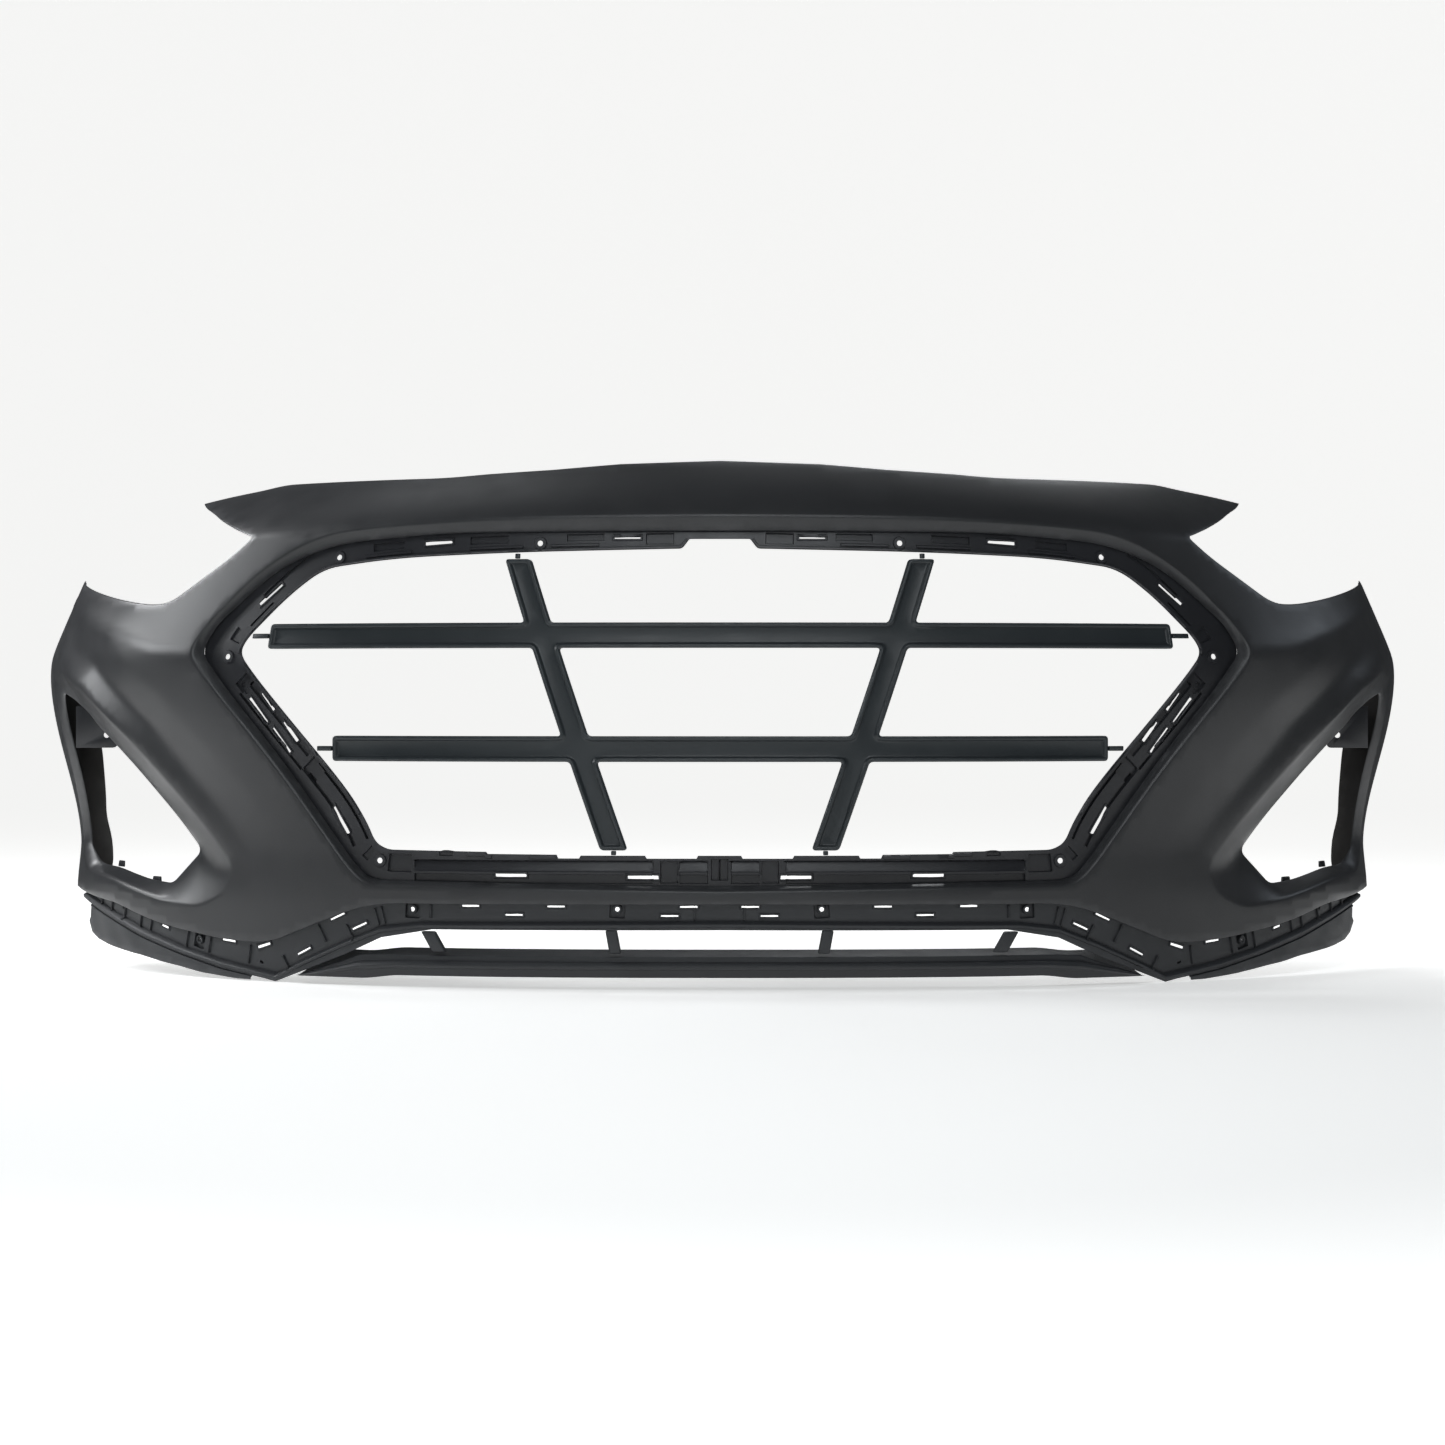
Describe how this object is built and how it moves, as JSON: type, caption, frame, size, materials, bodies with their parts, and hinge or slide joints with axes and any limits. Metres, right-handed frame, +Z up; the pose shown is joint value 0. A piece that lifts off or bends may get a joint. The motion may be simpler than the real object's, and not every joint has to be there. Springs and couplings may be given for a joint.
{
  "type": "front bumper cover",
  "caption": "Front bumper cover for a saloon car: satin primer shell with a hexagonal grille opening, brace bars, fog lamp openings, lower trim channel, intake slot and lip.",
  "frame": {"origin": "Centre of the footprint of the bounding box, at the lowest point of the lower edge.", "axes": "+X runs across the car to the car's left, which is the viewer's right from in front, and is the longest extent. -Y is the way the front of the car faces. +Z is up. The cover is symmetric about X = 0."},
  "size_m": [1.8296, 0.6201, 0.648],
  "materials": {
    "primer_skin": "satin charcoal primer on moulded polypropylene",
    "black_moulding": "semi-gloss black moulded plastic",
    "grained_trim": "fine grained dark grey plastic",
    "brace_moulding": "smooth satin black plastic"
  },
  "bodies": {
    "root": {"brace_tie_foot_left": "brace_moulding", "brace_tie_foot_right": "brace_moulding", "brace_tie_lower_left": "brace_moulding", "brace_tie_lower_right": "brace_moulding", "brace_tie_top_left": "brace_moulding", "brace_tie_top_right": "brace_moulding", "brace_tie_upper_left": "brace_moulding", "brace_tie_upper_right": "brace_moulding", "fascia_skin": "primer_skin", "fog_clip_inner_left": "black_moulding", "fog_clip_inner_right": "black_moulding", "fog_clip_outer_left": "black_moulding", "fog_clip_outer_right": "black_moulding", "fog_lamp_bracket_left": "black_moulding", "fog_lamp_bracket_right": "black_moulding", "grille_flange_bottom": "black_moulding", "grille_flange_left": "black_moulding", "grille_flange_right": "black_moulding", "grille_flange_top": "black_moulding", "intake_strut_inner_left": "grained_trim", "intake_strut_inner_right": "grained_trim", "intake_strut_outer_left": "grained_trim", "intake_strut_outer_right": "grained_trim", "lower_lip": "grained_trim", "side_lip_left": "grained_trim", "side_lip_right": "grained_trim", "transport_brace": "brace_moulding", "trim_channel_left": "grained_trim", "trim_channel_middle": "grained_trim", "trim_channel_right": "grained_trim", "wheel_arch_flange_left": "black_moulding", "wheel_arch_flange_right": "black_moulding"}
  },
  "joints": []
}
